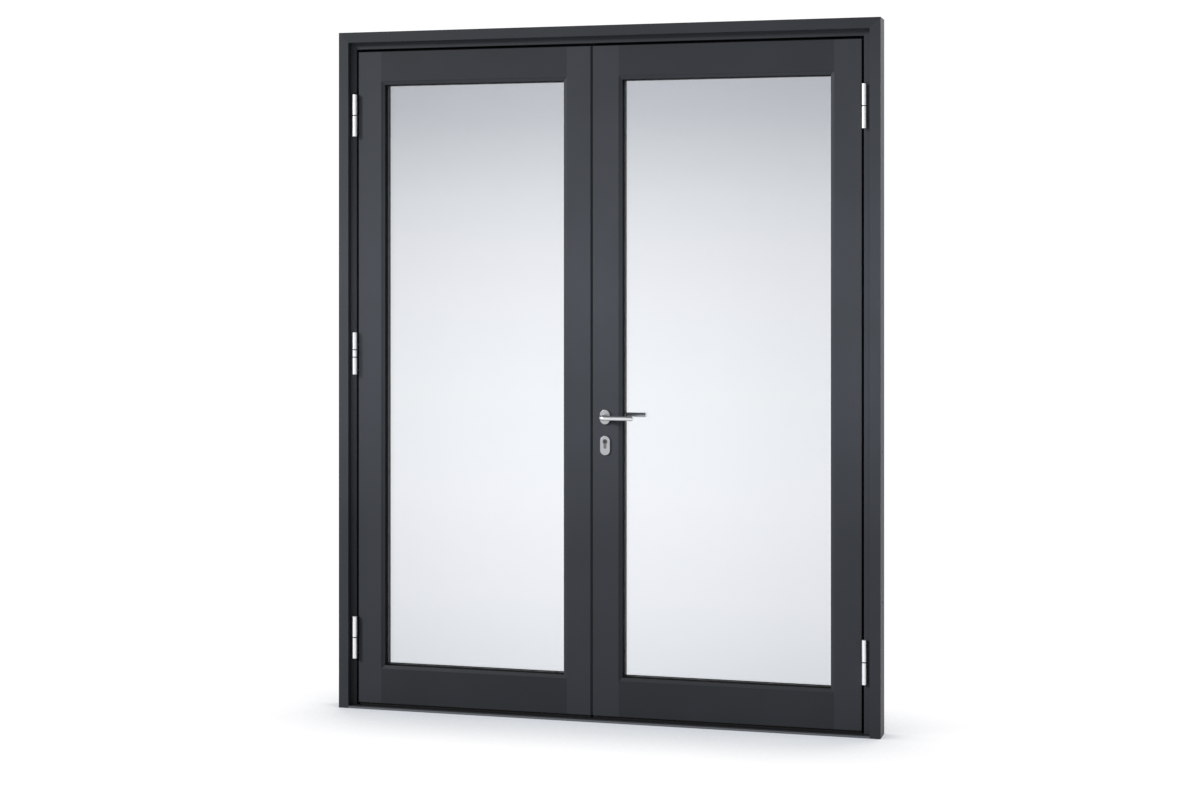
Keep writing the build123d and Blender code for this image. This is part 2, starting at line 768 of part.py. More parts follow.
# Hinges: barrels with a flap each side of the gap, bushed, on one pin each
frame_screws = []
hinge_pins = []
for leaf in leaves:
    on_leaf, on_frame = knuckles(leaf)
    axis_x = leaf.hinge_axis
    flap_back = leaf_face_y + flap_depth
    jamb_x = -leaf.way * (door_width / 2 - frame_face)
    leaf_knuckles = []
    frame_knuckles = []
    bushes = []
    flap_face = jamb_x + leaf.way * flap_thickness
    for low, high in on_frame:
        centre = min(leaf.hinges, key=lambda height: abs(height - (low + high) / 2))
        outward = 1 if low > centre else -1
        with BuildPart() as knuckle:
            with BuildSketch(Plane.XY.offset(low)):
                with Locations((axis_x, hinge_axis_y)):
                    Circle(hinge_radius)
            extrude(amount=high - low)
            chamfer(knuckle.edges().filter_by(GeomType.CIRCLE), knuckle_chamfer)
            with BuildSketch(Plane.XY.offset(low + knuckle_chamfer)):
                area(jamb_x, hinge_axis_y, flap_face, flap_back)
            extrude(amount=high - low - 2 * knuckle_chamfer)
            inner_end = low if outward > 0 else high
            with BuildSketch(Plane.XY.offset(inner_end)):
                with Locations((axis_x, hinge_axis_y)):
                    Circle(pin_radius)
            extrude(amount=outward * (high - low - knuckle_cap), mode=Mode.SUBTRACT)
            for y, z in flap_screws([(low, high)]):
                add(placed(screw_hole, flap_face, y, z, (leaf.way, 0, 0)), mode=Mode.SUBTRACT)
        frame_knuckles.append(knuckle.part)
    for y, z in flap_screws(on_frame):
        frame_screws.append(placed(plain_screw, flap_face, y, z, (leaf.way, 0, 0)))

    flap_face = leaf.hinge_edge - leaf.way * flap_thickness
    for low, high in on_leaf:
        is_middle = low < hinge_middle_height < high
        with BuildPart() as knuckle:
            with BuildSketch(Plane.XY.offset(low)):
                with Locations((axis_x, hinge_axis_y)):
                    Circle(hinge_radius)
            extrude(amount=high - low)
            chamfer(knuckle.edges().filter_by(GeomType.CIRCLE), knuckle_chamfer)
            with BuildSketch(Plane.XY.offset(low + knuckle_chamfer)):
                area(flap_face, hinge_axis_y, leaf.hinge_edge, flap_back)
                area(axis_x, hinge_axis_y, leaf.hinge_edge, leaf_face_y - bead_seam)
            extrude(amount=high - low - 2 * knuckle_chamfer)
            with BuildSketch(Plane.XY.offset(low)):
                with Locations((axis_x, hinge_axis_y)):
                    Circle(bush_radius)
            blind = 0 if is_middle else knuckle_cap
            extrude(amount=high - low - blind, mode=Mode.SUBTRACT)
            for y, z in flap_screws([(low, high)]):
                add(placed(screw_hole, flap_face, y, z, (-leaf.way, 0, 0)), mode=Mode.SUBTRACT)
        leaf_knuckles.append(knuckle.part)
        sleeve = (high - low) / 2 if is_middle else high - low - knuckle_cap
        for face, inward in ((low, 1), (high, -1))[: 2 if is_middle else 1]:
            with BuildPart() as bush:
                with BuildSketch(Plane.XY.offset(face - inward * (hinge_ring - knuckle_gap))):
                    with Locations((axis_x, hinge_axis_y)):
                        Circle(ring_radius)
                extrude(amount=inward * (hinge_ring - knuckle_gap))
                with BuildSketch(Plane.XY.offset(face)):
                    with Locations((axis_x, hinge_axis_y)):
                        Circle(bush_radius)
                extrude(amount=inward * sleeve)
                with BuildSketch(Plane.XY.offset(face - inward * hinge_ring)):
                    with Locations((axis_x, hinge_axis_y)):
                        Circle(pin_radius + running_gap)
                extrude(amount=inward * (hinge_ring + sleeve), mode=Mode.SUBTRACT)
            bushes.append(bush.part)
    for y, z in flap_screws(on_leaf):
        leaf.screws.append(placed(plain_screw, flap_face, y, z, (-leaf.way, 0, 0)))

    for height in leaf.hinges:
        with BuildPart() as pin:
            reach = hinge_length / 2 - knuckle_cap
            with BuildSketch(Plane.XY.offset(height - reach)):
                with Locations((axis_x, hinge_axis_y)):
                    Circle(pin_radius)
            extrude(amount=2 * reach - knuckle_gap)
        hinge_pins.append(pin.part)
    write_group(frame_knuckles, f"{leaf.name}_hinge_frame_knuckles")
    write_group(leaf_knuckles, f"{leaf.name}_hinge_leaf_knuckles")
    write_group(bushes, f"{leaf.name}_hinge_bushes")
write_group(hinge_pins, "hinge_pins")


def edge_plate(leaf, low, high):
    """A plate that lies in the hardware channel of a leaf's meeting edge."""
    with BuildPart() as plate:
        with BuildSketch(sideways(from_edge(leaf, channel_depth))):
            area(lock_y - faceplate_width / 2, low, lock_y + faceplate_width / 2, high)
        extrude(amount=leaf.way * faceplate_thickness)
    return plate.part


# The lock in the active leaf: faceplate, hollow case, latch, deadbolt and follower
edge_out = (active.way, 0, 0)
plate_x = from_edge(active, plate_inset)
cylinder_screw_z = key_height - cylinder_tail + bridge_height / 2
with BuildPart() as faceplate:
    half_plate = faceplate_length / 2
    add(edge_plate(active, faceplate_centre - half_plate, faceplate_centre + half_plate))
    with BuildSketch(sideways(from_edge(active, channel_depth))):
        with Locations((lock_y, lever_height)):
            Rectangle(bolt_thickness + 2 * bolt_gap, latch_height + 2 * bolt_gap)
        with Locations((lock_y, deadbolt_centre)):
            Rectangle(bolt_thickness + 2 * bolt_gap, deadbolt_height + 2 * bolt_gap)
        with Locations((lock_y, cylinder_screw_z)):
            Circle(cylinder_screw_radius + screw_gap)
    extrude(amount=active.way * faceplate_thickness, mode=Mode.SUBTRACT)
    for height in faceplate_screws:
        add(placed(screw_hole, plate_x, lock_y, height, edge_out), mode=Mode.SUBTRACT)
        active.screws.append(placed(plain_screw, plate_x, lock_y, height, edge_out))
write(faceplate.part, "lock_faceplate")

with BuildPart() as case:
    with BuildSketch(facing(lock_y - case_thickness / 2)):
        area(
            from_edge(active, channel_depth),
            case_centre - case_length / 2,
            from_edge(active, channel_depth + case_depth),
            case_centre + case_length / 2,
        )
    extrude(amount=-case_thickness)
    with BuildSketch(facing(lock_y - case_thickness / 2 + case_wall)):
        area(
            from_edge(active, channel_depth + case_wall),
            case_centre - case_length / 2 + case_wall,
            from_edge(active, channel_depth + case_depth - case_wall),
            case_centre + case_length / 2 - case_wall,
        )
    extrude(amount=2 * case_wall - case_thickness, mode=Mode.SUBTRACT)
    with BuildSketch(sideways(from_edge(active, channel_depth))):
        with Locations((lock_y, lever_height)):
            Rectangle(bolt_thickness + 2 * bolt_gap, latch_height + 2 * bolt_gap)
        with Locations((lock_y, deadbolt_centre)):
            Rectangle(bolt_thickness + 2 * bolt_gap, deadbolt_height + 2 * bolt_gap)
        with Locations((lock_y, cylinder_screw_z)):
            Circle(cylinder_screw_radius + screw_gap)
    extrude(amount=-active.way * case_wall, mode=Mode.SUBTRACT)
    with BuildSketch(facing(lock_y - case_thickness / 2)):
        with Locations((lock_x, lever_height)):
            Circle(follower_boss_radius + running_gap)
        for way in (-1, 1):
            with Locations((lock_x, lever_height + way * handle_bolt_spacing / 2)):
                Circle(handle_bolt_radius + bolt_gap)
        cylinder_profile(cylinder_gap)
    extrude(amount=-case_thickness, mode=Mode.SUBTRACT)
write(case.part, "lock_case")

with BuildPart() as latch:
    nose = from_edge(active, -latch_projection)
    with BuildSketch(Plane.XY.offset(lever_height - latch_height / 2)):
        with BuildLine():
            back = from_edge(active, latch_body)
            Polyline(
                (nose, lock_y - bolt_thickness / 2),
                (back, lock_y - bolt_thickness / 2),
                (back, lock_y + bolt_thickness / 2),
                (nose - active.way * latch_bevel, lock_y + bolt_thickness / 2),
                (nose, lock_y + bolt_thickness / 2 - latch_bevel),
                close=True,
            )
        make_face()
    extrude(amount=latch_height)
    with BuildSketch(sideways(from_edge(active, latch_body))):
        with Locations((lock_y, lever_height)):
            Rectangle(bolt_thickness / 2, latch_tail_height)
    extrude(amount=-active.way * latch_tail)
write(latch.part, "latch")

with BuildPart() as deadbolt:
    with BuildSketch(sideways(from_edge(active, 2 * plate_inset))):
        with Locations((lock_y, deadbolt_centre)):
            Rectangle(bolt_thickness, deadbolt_height)
    extrude(amount=-active.way * deadbolt_length)
    chamfer(deadbolt.edges().filter_by(Axis.Z), plate_inset)
write(deadbolt.part, "deadbolt")

with BuildPart() as follower:
    with BuildSketch(facing(lock_y - case_thickness / 2)):
        with Locations((lock_x, lever_height)):
            Circle(follower_boss_radius)
    extrude(amount=-case_thickness)
    inner = case_thickness / 2 - case_wall - running_gap
    with BuildSketch(facing(lock_y - inner)):
        with Locations((lock_x, lever_height)):
            Circle(follower_radius)
    extrude(amount=-2 * inner)
    with BuildSketch(facing(lock_y - case_thickness / 2)):
        with Locations((lock_x, lever_height)):
            Rectangle(spindle_width + 2 * spindle_gap, spindle_width + 2 * spindle_gap)
    extrude(amount=-case_thickness, mode=Mode.SUBTRACT)
write(follower.part, "lock_follower")

# The lever set: two bent round-bar levers on one square spindle, with their roses
for place, face, out in (("front", leaf_face_y, -1), ("back", leaf_back_y, 1)):
    with BuildPart() as lever:
        with BuildLine(Plane.XY.offset(lever_height)):
            FilletPolyline(
                (lock_x, face + out * running_gap),
                (lock_x, face + out * lever_standoff),
                (lock_x + lever_length, face + out * lever_standoff),
                radius=lever_bend,
            )
        with BuildSketch(facing(face + out * running_gap)):
            with Locations((lock_x, lever_height)):
                Circle(lever_radius)
        sweep()
        tip = lever.faces().sort_by(Axis.X)[-1]
        fillet(tip.edges(), lever_end_radius)
        with BuildSketch(facing(face)):
            with Locations((lock_x, lever_height)):
                Rectangle(spindle_width + 2 * spindle_gap, spindle_width + 2 * spindle_gap)
        extrude(amount=-out * lever_socket_depth, mode=Mode.SUBTRACT)
    write(lever.part, f"lever_{place}")

with BuildPart() as spindle:
    with BuildSketch(facing(leaf_face_y - lever_socket_depth + spindle_width / 2)):
        with Locations((lock_x, lever_height)):
            Rectangle(spindle_width, spindle_width)
    extrude(amount=-(leaf_thickness + 2 * lever_socket_depth - spindle_width))
write(spindle.part, "lever_spindle")

roses = []
escutcheons = []
for face, out in ((leaf_face_y, -1), (leaf_back_y, 1)):
    with BuildPart() as rose:
        with BuildSketch(facing(face)):
            with Locations((lock_x, lever_height)):
                SlotOverall(rose_height, rose_width, rotation=90)
        extrude(amount=-out * rose_thickness)
        outer = rose.faces().sort_by(Axis.Y)[-1 if out > 0 else 0]
        fillet(outer.edges(), rose_edge)
        with BuildSketch(facing(face)):
            with Locations((lock_x, lever_height)):
                Circle(lever_radius + running_gap)
        extrude(amount=-out * rose_thickness, mode=Mode.SUBTRACT)
        with BuildSketch(facing(face)):
            for way in (-1, 1):
                with Locations((lock_x, lever_height + way * handle_bolt_spacing / 2)):
                    Circle(handle_bolt_radius)
        extrude(amount=-out * rose_thickness / 2, mode=Mode.SUBTRACT)
    roses.append(rose.part)
    with BuildPart() as escutcheon:
        with BuildSketch(facing(face)):
            with Locations((lock_x, key_height - escutcheon_drop)):
                SlotOverall(escutcheon_height, escutcheon_width, rotation=90)
        extrude(amount=-out * escutcheon_thickness)
        outer = escutcheon.faces().sort_by(Axis.Y)[-1 if out > 0 else 0]
        fillet(outer.edges(), rose_edge)
        with BuildSketch(facing(face)):
            cylinder_profile(cylinder_gap)
        extrude(amount=-out * escutcheon_thickness, mode=Mode.SUBTRACT)
    escutcheons.append(escutcheon.part)
write_group(roses, "lever_roses")
write_group(escutcheons, "cylinder_escutcheons")

for way in (-1, 1):
    with BuildPart() as bolt:
        reach = rose_thickness / 2
        with BuildSketch(facing(leaf_face_y - reach)):
            with Locations((lock_x, lever_height + way * handle_bolt_spacing / 2)):
                Circle(handle_bolt_radius)
        extrude(amount=-(leaf_thickness + 2 * reach))
    active.screws.append(bolt.part)

# The profile cylinder: its body with the bridge under the cam, the turning core, its screw
with BuildPart() as cylinder:
    with BuildSketch(facing(leaf_face_y - cylinder_proud)):
        cylinder_profile()
    extrude(amount=-(leaf_thickness + 2 * cylinder_proud))
    with BuildSketch(facing(leaf_face_y - cylinder_proud)):
        with Locations((lock_x, key_height)):
            Circle(plug_radius + running_gap)
    extrude(amount=-(leaf_thickness + 2 * cylinder_proud), mode=Mode.SUBTRACT)
    half_cam = cam_width / 2 + cam_side_gap
    with BuildSketch(facing(lock_y - half_cam)):
        bridge_top = key_height - cylinder_tail + bridge_height
        area(lock_x - cylinder_radius, bridge_top, lock_x + cylinder_radius, key_height + cylinder_radius)
    extrude(amount=-2 * half_cam, mode=Mode.SUBTRACT)
    with BuildSketch(sideways(lock_x - cylinder_tail_width / 2)):
        with Locations((lock_y, cylinder_screw_z)):
            Circle(cylinder_screw_radius)
    extrude(amount=cylinder_tail_width, mode=Mode.SUBTRACT)
write(cylinder.part, "cylinder_body")

with BuildPart() as core:
    start = leaf_face_y - cylinder_proud - plug_proud
    length = leaf_thickness + 2 * (cylinder_proud + plug_proud)
    with BuildSketch(facing(start)):
        with Locations((lock_x, key_height)):
            Circle(plug_radius)
    extrude(amount=-length)
    with BuildSketch(facing(lock_y - cam_width / 2)):
        with Locations((lock_x, key_height)):
            Circle(cam_hub_radius)
        area(lock_x - cam_thickness / 2, key_height - cam_reach, lock_x + cam_thickness / 2, key_height)
    extrude(amount=-cam_width)
    for face, out in ((start, -1), (start + length, 1)):
        with BuildSketch(facing(face)):
            with Locations((lock_x, key_height)):
                Rectangle(key_slot_width, key_slot_height)
        extrude(amount=out * key_slot_depth, mode=Mode.SUBTRACT)
write(core.part, "cylinder_core")

with BuildPart() as cylinder_screw:
    with BuildSketch(sideways(plate_x)):
        with Locations((lock_y, cylinder_screw_z)):
            Circle(cylinder_screw_radius)
    extrude(amount=-active.way * (lever_backset + cylinder_tail_width / 2 - plate_inset))
active.screws.append(cylinder_screw.part)

# The passive leaf's strike plate and its two flush bolts
edge_out = (passive.way, 0, 0)
plate_x = from_edge(passive, plate_inset)
with BuildPart() as strike:
    add(edge_plate(passive, strike_centre - strike_length / 2, strike_centre + strike_length / 2))
    with BuildSketch(sideways(from_edge(passive, channel_depth))):
        with Locations((lock_y, lever_height)):
            Rectangle(bolt_thickness + 2 * strike_gap, latch_height + 2 * strike_gap)
        with Locations((lock_y, deadbolt_centre)):
            Rectangle(bolt_thickness + 2 * strike_gap, deadbolt_height + 2 * strike_gap)
    extrude(amount=passive.way * faceplate_thickness, mode=Mode.SUBTRACT)
    for height in strike_screws:
        add(placed(screw_hole, plate_x, lock_y, height, edge_out), mode=Mode.SUBTRACT)
        passive.screws.append(placed(plain_screw, plate_x, lock_y, height, edge_out))
write(strike.part, "strike_plate")

flush_cases = []
for end, up, name in ((leaf_top, 1, "flush_bolt_top"), (leaf_bottom, -1, "flush_bolt_bottom")):
    thumb = end - up * thumb_drop
    half_slot = thumb_height / 2 + thumb_gap
    slot_ends = sorted((thumb - up * half_slot, thumb + up * (half_slot + shoot_throw)))
    with BuildPart() as flush_case:
        add(edge_plate(passive, *sorted((end, end - up * flush_plate_length))))
        with BuildSketch(Plane.XY.offset(end - up * flush_guide_drop)):
            guide_back = from_edge(passive, shoot_backset + shoot_radius + flush_guide_drop)
            half = flush_guide_width / 2
            area(from_edge(passive, channel_depth), lock_y - half, guide_back, lock_y + half)
        extrude(amount=-up * flush_guide_length)
        with BuildSketch(Plane.XY.offset(end)):
            with Locations((shoot_x, lock_y)):
                Circle(shoot_radius + running_gap)
        extrude(amount=-up * flush_plate_length, mode=Mode.SUBTRACT)
        with BuildSketch(sideways(from_edge(passive, channel_depth))):
            half = thumb_width / 2 + thumb_gap
            area(lock_y - half, slot_ends[0], lock_y + half, slot_ends[1])
        extrude(amount=passive.way * faceplate_thickness, mode=Mode.SUBTRACT)
        far_screw = end - up * (flush_plate_length - plate_screw_inset)
        add(placed(screw_hole, plate_x, lock_y, far_screw, edge_out), mode=Mode.SUBTRACT)
    flush_cases.append(flush_case.part)
    passive.screws.append(placed(plain_screw, plate_x, lock_y, far_screw, edge_out))
    with BuildPart() as shoot:
        with BuildSketch(Plane.XY.offset(end - up * shoot_rest)):
            with Locations((shoot_x, lock_y)):
                Circle(shoot_radius)
        extrude(amount=-up * shoot_length)
        with BuildSketch(sideways(shoot_x)):
            with Locations((lock_y, thumb)):
                Rectangle(thumb_width, thumb_height)
        extrude(amount=passive.way * (shoot_backset - plate_inset))
    write(shoot.part, name)
write_group(flush_cases, "flush_bolt_cases")

# Where the flush bolts go: a keep plate under the head and a socket in the threshold
keep_z = door_height - frame_face
with BuildPart() as keep:
    with BuildSketch(Plane.XY.offset(keep_z)):
        with Locations((shoot_x, lock_y)):
            Rectangle(keep_plate_length, keep_plate_width)
            Circle(shoot_radius + keep_hole_gap, mode=Mode.SUBTRACT)
    extrude(amount=-keep_plate_thickness)
    keep_face = keep_z - keep_plate_thickness
    for x in keep_screw_places:
        add(placed(screw_hole, x, lock_y, keep_face, (0, 0, -1)), mode=Mode.SUBTRACT)
        frame_screws.append(placed(plain_screw, x, lock_y, keep_face, (0, 0, -1)))
write(keep.part, "head_keep_plate")

with BuildPart() as socket:
    with BuildSketch(Plane.XY.offset(profile_wall)):
        with Locations((shoot_x, lock_y)):
            Circle(shoot_radius + keep_hole_gap + socket_wall)
            Circle(shoot_radius + keep_hole_gap, mode=Mode.SUBTRACT)
    extrude(amount=threshold_height - profile_wall)
write(socket.part, "threshold_socket")

write_group(frame_screws, "frame_screws")
write_group(passive.screws, "passive_screws")
write_group(active.screws, "active_screws")
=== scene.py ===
# %% [markdown]
# # A glazed aluminium double door, dressed for a studio picture
#
# The shapes of this door come from its CAD model: hollow bars, beads, glass, hinges and lock. What is
# missing is the way it looks. This lesson gives every piece the finish of the real one, sets the floor
# and the light, and puts the camera where the photographer stood. No shape is modelled again here,
# because a shape made twice would have to be mended twice.

# %% Load the door
import bpy
import math
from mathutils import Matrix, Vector


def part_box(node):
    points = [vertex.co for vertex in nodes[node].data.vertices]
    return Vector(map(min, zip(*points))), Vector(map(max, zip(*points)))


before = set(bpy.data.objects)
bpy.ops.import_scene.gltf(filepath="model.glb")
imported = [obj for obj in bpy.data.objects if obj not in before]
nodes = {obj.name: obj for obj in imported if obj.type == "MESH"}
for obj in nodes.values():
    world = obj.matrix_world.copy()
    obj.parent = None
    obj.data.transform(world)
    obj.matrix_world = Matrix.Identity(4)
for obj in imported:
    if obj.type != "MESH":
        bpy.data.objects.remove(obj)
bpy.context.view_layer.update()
print("loaded", len(nodes), "pieces of the door")

# %% [markdown]
# ## Helpers for materials
#
# A material in Blender is a small graph: nodes that make patterns, joined to one shader. It could be
# drawn by hand in the shader editor, but a script repeats it for every finish and keeps each number in
# sight. Five short helpers do that. The first turns the hex colours of a colour card into the linear
# values that a shader wants: a picture on the screen is stored with a curve, so a hex value used as it is
# would be far too light. The second adds any node with its settings and links, and takes the stops of a
# colour ramp too, because those are inside the ramp. The third starts a material and sets the shader's
# plain numbers, the fourth joins a pattern to the shader, and the last turns the real size of a pattern
# into the scale that a texture wants.
#
# Sockets that share a name on one node go by number. A node for maths has its values at 0 and 1. A node
# that mixes colours has many sockets, so the numbers of the four that are needed are named here.

# %% Colours, millimetres and nodes
MM = 0.001
MIX_SHARE = 0
FIRST_COLOUR = 6
SECOND_COLOUR = 7
MIXED_COLOUR = 2


def linear(hex_colour):
    """An sRGB hex colour as the linear colour, with full alpha, that shaders use."""
    channels = [int(hex_colour[i:i + 2], 16) / 255 for i in (1, 3, 5)]
    curved = [c / 12.92 if c <= 0.04045 else ((c + 0.055) / 1.055) ** 2.4 for c in channels]
    return (*curved, 1.0)


def node(material, kind, inputs=None, stops=(), **settings):
    """Adds a node. Each input is a plain value, or a (node, output name) pair to link from."""
    made = material.node_tree.nodes.new(kind)
    for name, value in settings.items():
        setattr(made, name, value)
    for place, (position, colour) in enumerate(stops):
        elements = made.color_ramp.elements
        stop = elements[place] if place < len(elements) else elements.new(position)
        stop.position, stop.color = position, colour
    for name, value in (inputs or {}).items():
        if isinstance(value, tuple) and isinstance(value[0], bpy.types.Node):
            material.node_tree.links.new(value[0].outputs[value[1]], made.inputs[name])
        else:
            made.inputs[name].default_value = value
    return made


def new_material(name, **shader_values):
    """Starts a material, and returns it with its shader, whose plain values are set by name."""
    material = bpy.data.materials.new(name)
    material.use_nodes = True
    shader = material.node_tree.nodes["Principled BSDF"]
    for key, value in shader_values.items():
        shader.inputs[key.replace("_", " ")].default_value = value
    return material, shader


def link(material, source, output, shader, socket):
    """Joins an output of a pattern node to one socket of the shader."""
    material.node_tree.links.new(source.outputs[output], shader.inputs[socket])


def per_mm(size_mm):
    """The scale of a pattern whose features are that many millimetres apart."""
    return 1 / (size_mm * MM)


print("the hex grey #808080 is", round(linear("#808080")[0], 3), "in linear light, not 0.5")

# %% [markdown]
# ## Powder coat on the bars
#
# The bars are aluminium, sprayed with an anthracite polyester powder and baked. The powder melts into a
# skin about 0.07 mm thick that is matt, a little rough like fine orange peel, and not metallic: the metal
# under it can't be seen. So the shader is a plain dielectric with the IOR of 1.5 that most paints have
# and a middling roughness. Its specular level is below the usual 0.5, because the peel swallows much of
# what a smooth paint would mirror.
#
# A picture of real powder coat could be laid over the bars, but two noises hold up at any distance. The
# fine one, a few grains to the millimetre in reality, is drawn at 1.2 mm so that it shows. It tilts the
# surface and varies the roughness. The broad one makes the faint change of tone that a long bar has. A
# Bevel node rounds the edges for the light alone, because an edge with no radius catches no light and
# looks drawn.

# %% Powder coated aluminium
COAT_IOR = 1.5
COAT_SHEEN = 0.17
COAT_ROUGH = 0.5
PEEL_SMOOTHER = 0.05
PEEL_ROUGHER = 0.07
PEEL_STRENGTH = 0.12
PEEL_DEPTH_MM = 0.1
GRAIN_MM = 1.2
TONE_MM = 420
ALL_DARK_AT = 0.35
ALL_LIGHT_AT = 0.68
EDGE_MM = 0.6


def powder_coat(name, dark, light):
    """Matt powder coat between two near colours, with its shader and the nodes of colour and gloss."""
    material, shader = new_material(name, IOR=COAT_IOR, Specular_IOR_Level=COAT_SHEEN)
    place = node(material, "ShaderNodeTexCoord")
    broad = node(
        material, "ShaderNodeTexNoise",
        {"Vector": (place, "Object"), "Scale": per_mm(TONE_MM), "Detail": 3.0},
    )
    tone = node(
        material, "ShaderNodeValToRGB", {"Fac": (broad, "Fac")},
        [(ALL_DARK_AT, linear(dark)), (ALL_LIGHT_AT, linear(light))],
    )
    link(material, tone, "Color", shader, "Base Color")
    grain = node(
        material, "ShaderNodeTexNoise",
        {"Vector": (place, "Object"), "Scale": per_mm(GRAIN_MM), "Detail": 2.0},
    )
    gloss = node(
        material, "ShaderNodeMapRange",
        {"Value": (grain, "Fac"), "To Min": COAT_ROUGH - PEEL_SMOOTHER, "To Max": COAT_ROUGH + PEEL_ROUGHER},
    )
    link(material, gloss, "Result", shader, "Roughness")
    round_edge = node(material, "ShaderNodeBevel", {"Radius": EDGE_MM * MM}, samples=4)
    peel = node(
        material, "ShaderNodeBump",
        {
            "Height": (grain, "Fac"), "Normal": (round_edge, "Normal"),
            "Strength": PEEL_STRENGTH, "Distance": PEEL_DEPTH_MM * MM,
        },
    )
    link(material, peel, "Normal", shader, "Normal")
    return material, shader, tone, gloss


print("grain of the coat", GRAIN_MM, "mm, change of tone over", TONE_MM, "mm")

# %% [markdown]
# ## Four groups of bars
#
# One batch of powder has one colour. Here the head is given a shade darker than the upright bars, and the
# rails of the leaves darker still: painted shade, as darker copies of the one coat. One material would be
# the simplest, but it would miss that, so the bars are in four groups, each with a pair of tones matched to
# it.

# %% The coats of the bars
frame_coat = powder_coat("anthracite_powder_coat_frame", "#35383d", "#3a3d43")[0]
stile_coat = powder_coat("anthracite_powder_coat_stile", "#35383d", "#3a3d43")[0]
# The head and the rails take darker copies of the same powder: painted shade.
shaded_head_coat = powder_coat("anthracite_powder_coat_head_painted_shade", "#303338", "#35383d")[0]
shaded_rail_coat = powder_coat("anthracite_powder_coat_rail_painted_shade", "#2c2f34", "#313439")[0]
print("powder coats ready")

# %% [markdown]
# ## Beads: coated in front, rubber and painted shade behind
#
# A glazing bead clips into the leaf and holds the glass. Its face and bevel are coated like the bars, in the
# head's darker pair of tones, which are painted shade here too. Behind the bevel, down to the glass, a black
# rubber gasket lines it, and that strip is painted near black, darker than the rubber of the seals: the
# gasket's own black and painted shade of the deep slot round the glass. The bead is one CAD piece. It could
# be cut in two, but a CAD mesh is best left alone, so the shader changes by depth instead. The Y of the
# piece's own coordinates tells how far behind the leaf's face a point lies: past the bevel, the colour turns
# to that near black and the surface to fully rough.

# %% Glazing bead
BEVEL_END_MM = 6.4
leaf_face_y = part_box("passive_hinge_stile")[0][1]

# The bead takes the head's darker tones: painted shade on the same powder.
bead_coat, bead_shader, bead_tone, bead_gloss = powder_coat(
    "anthracite_powder_coat_bead", "#303338", "#35383d",
)
bead_place = node(bead_coat, "ShaderNodeTexCoord")
bead_axes = node(bead_coat, "ShaderNodeSeparateXYZ", {"Vector": (bead_place, "Object")})
behind_bevel = node(
    bead_coat, "ShaderNodeMath", {0: (bead_axes, "Y"), 1: leaf_face_y + BEVEL_END_MM * MM},
    operation="GREATER_THAN",
)
# Past the bevel the colour is near black, darker than the seal rubber: the gasket's black and painted shade
# of the slot.
coat_or_rubber_and_shade = node(
    bead_coat, "ShaderNodeMix",
    {
        MIX_SHARE: (behind_bevel, "Value"),
        FIRST_COLOUR: (bead_tone, "Color"), SECOND_COLOUR: linear("#020202"),
    },
    data_type="RGBA",
)
link(bead_coat, coat_or_rubber_and_shade, MIXED_COLOUR, bead_shader, "Base Color")
duller = node(
    bead_coat, "ShaderNodeMath", {0: (bead_gloss, "Result"), 1: (behind_bevel, "Value")},
    operation="MAXIMUM",
)
link(bead_coat, duller, "Value", bead_shader, "Roughness")
print("leaf face at y", round(leaf_face_y, 4))

# %% [markdown]
# ## Brushed stainless steel
#
# The levers, roses, escutcheons, lock plates and hinge barrels are stainless steel, ground with a fine
# belt. The belt leaves lines along the piece, about five to the millimetre, that spread the reflections
# across the lines and make satin streaks. The shader has a setting for such a spread, but it shows no
# lines, so here the lines themselves are drawn. They are a noise stretched forty times along one axis,
# 0.5 mm apart, which is coarser than they are, to show at this size. It is a bare metal, so it is fully
# metallic and its colour is its reflection. A ridge keeps the full colour and a groove is a little darker.

# %% Ground stainless steel
LINE_MM = 0.5
STRETCH = 40
LINE_SMOOTHER = 0.08
LINE_ROUGHER = 0.12
LINE_STRENGTH = 0.15
LINE_DEPTH_MM = 0.05
GROOVE_TONE = 0.86
ALONG_X = 0
ALONG_Y = 1
ALONG_Z = 2


def ground_steel(name, colour, rough, along):
    """Satin metal with its grinding lines along one axis, its shader and the node of its colour."""
    material, shader = new_material(name, Metallic=1.0)
    place = node(material, "ShaderNodeTexCoord")
    squeeze = [1.0, 1.0, 1.0]
    squeeze[along] = 1 / STRETCH
    mapping = node(material, "ShaderNodeMapping", {"Vector": (place, "Object"), "Scale": squeeze})
    lines = node(
        material, "ShaderNodeTexNoise",
        {"Vector": (mapping, "Vector"), "Scale": per_mm(LINE_MM), "Detail": 3.0},
    )
    gloss = node(
        material, "ShaderNodeMapRange",
        {"Value": (lines, "Fac"), "To Min": rough - LINE_SMOOTHER, "To Max": rough + LINE_ROUGHER},
    )
    link(material, gloss, "Result", shader, "Roughness")
    groove = (*[GROOVE_TONE * c for c in linear(colour)[:3]], 1.0)
    tone = node(
        material, "ShaderNodeValToRGB", {"Fac": (lines, "Fac")}, [(0.0, groove), (1.0, linear(colour))],
    )
    link(material, tone, "Color", shader, "Base Color")
    scratch = node(
        material, "ShaderNodeBump",
        {"Height": (lines, "Fac"), "Strength": LINE_STRENGTH, "Distance": LINE_DEPTH_MM * MM},
    )
    link(material, scratch, "Normal", shader, "Normal")
    return material, shader, tone


lever_steel = ground_steel("satin_stainless_lever", "#dedfe1", 0.34, ALONG_X)[0]
rose_steel = ground_steel("satin_stainless_rose", "#b2b3b7", 0.34, ALONG_Z)[0]
plate_steel = ground_steel("stainless_lock_plate", "#c4c4c2", 0.34, ALONG_Z)[0]
print("steel with lines", LINE_MM, "mm apart")
